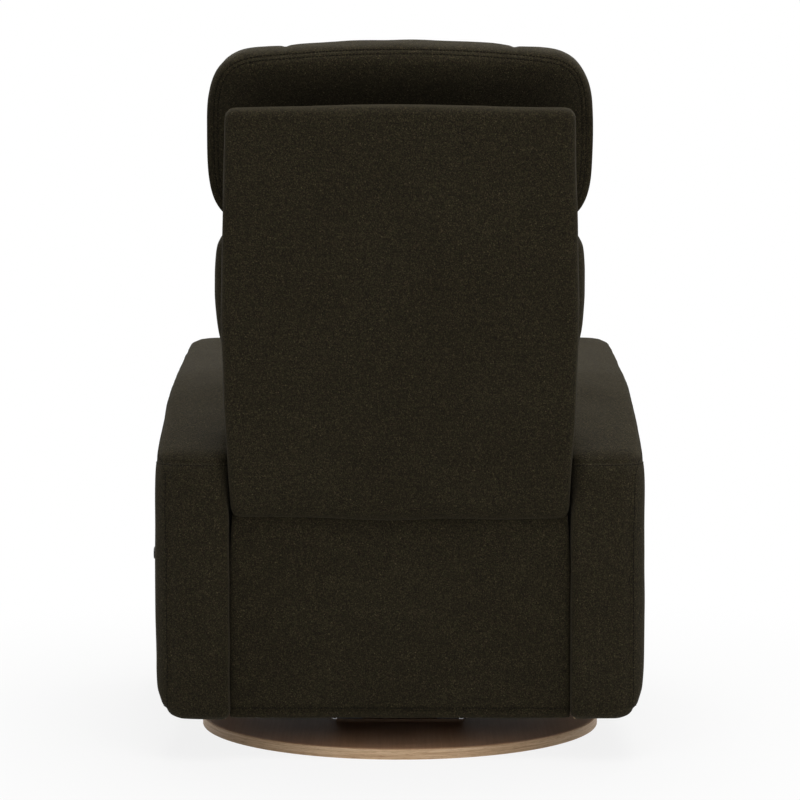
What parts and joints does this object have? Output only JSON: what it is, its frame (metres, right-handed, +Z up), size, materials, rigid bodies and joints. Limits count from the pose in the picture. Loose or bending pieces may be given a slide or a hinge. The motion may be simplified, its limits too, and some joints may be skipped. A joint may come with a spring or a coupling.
{
  "type": "swivel rocker recliner",
  "caption": "Upholstered armchair on a round base that swivels and rocks, with a reclining back, a tilting headrest and a lever footrest.",
  "frame": {"origin": "on the floor on the swivel axis, at the middle of the round base's underside", "axes": "+Z up, -Y to the front of the chair, +X to the sitter's left"},
  "size_m": [0.768, 0.8675, 1.0616],
  "materials": {
    "upholstery": "dark melange weave",
    "oak_edge": "clear matt lacquer",
    "oak_veneer": "clear matt lacquer",
    "plywood": "raw",
    "webbing": "woven elastic",
    "nylon": "natural",
    "rubber": "matt",
    "black_plastic": "fine grain",
    "zinc_steel": "zinc plated",
    "bronze_steel": "bronze powder coat",
    "black_steel": "black powder coat"
  },
  "bodies": {
    "base": {"base_core": "oak_edge", "base_top_laminate": "oak_veneer", "swivel_lower_plate": "bronze_steel", "swivel_slip_ring": "nylon", "king_bolt": "zinc_steel", "base_screws": "zinc_steel"},
    "turning_stand": {"swivel_upper_plate": "bronze_steel", "rock_shaft": "zinc_steel", "rocker_stand_left": "black_steel", "rocker_stand_right": "black_steel", "rock_springs_front": "zinc_steel", "rock_springs_rear": "zinc_steel"},
    "chair": {"arm_bolts": "zinc_steel", "arm_core_left": "plywood", "arm_core_right": "plywood", "arm_left": "upholstery", "arm_right": "upholstery", "cradle_rail_left": "black_steel", "cradle_rail_right": "black_steel", "cross_tube_front": "black_steel", "cross_tube_rear": "black_steel", "lever_collar": "black_plastic", "lower_back_panel": "upholstery", "lower_rear_rail": "plywood", "rock_bushes": "nylon", "rock_stops": "rubber", "seat_cushion": "upholstery", "seat_front_rail": "plywood", "seat_rail_left": "plywood", "seat_rail_right": "plywood", "seat_rear_rail": "plywood", "seat_webbing": "webbing", "side_plate_left": "black_steel", "side_plate_pins": "zinc_steel", "side_plate_right": "black_steel", "tail_flap": "upholstery"},
    "front_links": {"drive_shaft": "zinc_steel", "release_lever": "black_plastic", "front_link_left": "black_steel", "front_link_right": "black_steel"},
    "rear_links": {"rear_link_left": "black_steel", "rear_link_right": "black_steel"},
    "carriers": {"carrier_bar_left": "black_steel", "carrier_bar_right": "black_steel"},
    "flip_ties": {"flip_tie_left": "black_steel", "flip_tie_right": "black_steel"},
    "footrest": {"footrest_board": "plywood", "footrest_pad": "upholstery", "footrest_bracket_left": "black_steel", "footrest_bracket_right": "black_steel"},
    "back": {"outside_back": "upholstery", "back_board": "plywood", "back_cushion": "upholstery", "recline_bracket_left": "black_steel", "recline_bracket_right": "black_steel", "headrest_brackets": "black_steel"},
    "headrest": {"headrest_cushion": "upholstery", "headrest_board": "plywood", "headrest_yokes": "black_steel"}
  },
  "joints": [
    {"name": "swivel", "type": "hinge", "parent": "base", "child": "turning_stand", "pos_m": [0, 0, 0.024], "axis": [0, 0, 1], "continuous": true},
    {"name": "rock", "type": "hinge", "parent": "turning_stand", "child": "chair", "pos_m": [0, 0, 0.075], "axis": [1, 0, 0], "range_deg": [-6, 6], "stiffness_Nm_per_rad": 900, "deforming": ["rock_springs_front", "rock_springs_rear"]},
    {"name": "footrest_open", "type": "hinge", "parent": "chair", "child": "front_links", "pos_m": [0, -0.15, 0.25], "axis": [-1, 0, 0], "range_deg": [0, 88]},
    {"name": "rear_link_swing", "type": "hinge", "parent": "chair", "child": "rear_links", "pos_m": [0, -0.19821, 0.28571], "axis": [-1, 0, 0], "range_deg": [0, 88]},
    {"name": "carrier_level", "type": "hinge", "parent": "front_links", "child": "carriers", "pos_m": [0, -0.13518, 0.08065], "axis": [-1, 0, 0], "range_deg": [-88, 0]},
    {"name": "flip_tie_level", "type": "hinge", "parent": "front_links", "child": "flip_ties", "pos_m": [0, -0.13954, 0.13046], "axis": [-1, 0, 0], "range_deg": [-88, 0]},
    {"name": "footrest_flip", "type": "hinge", "parent": "carriers", "child": "footrest", "pos_m": [0, -0.38, 0.262], "axis": [-1, 0, 0], "range_deg": [0, 88]},
    {"name": "recline", "type": "hinge", "parent": "chair", "child": "back", "pos_m": [0, 0.25, 0.345], "axis": [-1, 0, 0], "range_deg": [0, 38], "deforming": ["tail_flap"]},
    {"name": "headrest_tilt", "type": "hinge", "parent": "back", "child": "headrest", "pos_m": [0, 0.29577, 0.86276], "axis": [1, 0, 0], "range_deg": [0, 25]}
  ],
  "couplings": [
    {"joint": "rear_link_swing", "follows": "footrest_open", "ratio": 1},
    {"joint": "carrier_level", "follows": "footrest_open", "ratio": -1},
    {"joint": "flip_tie_level", "follows": "footrest_open", "ratio": -1},
    {"joint": "footrest_flip", "follows": "footrest_open", "ratio": 1}
  ]
}
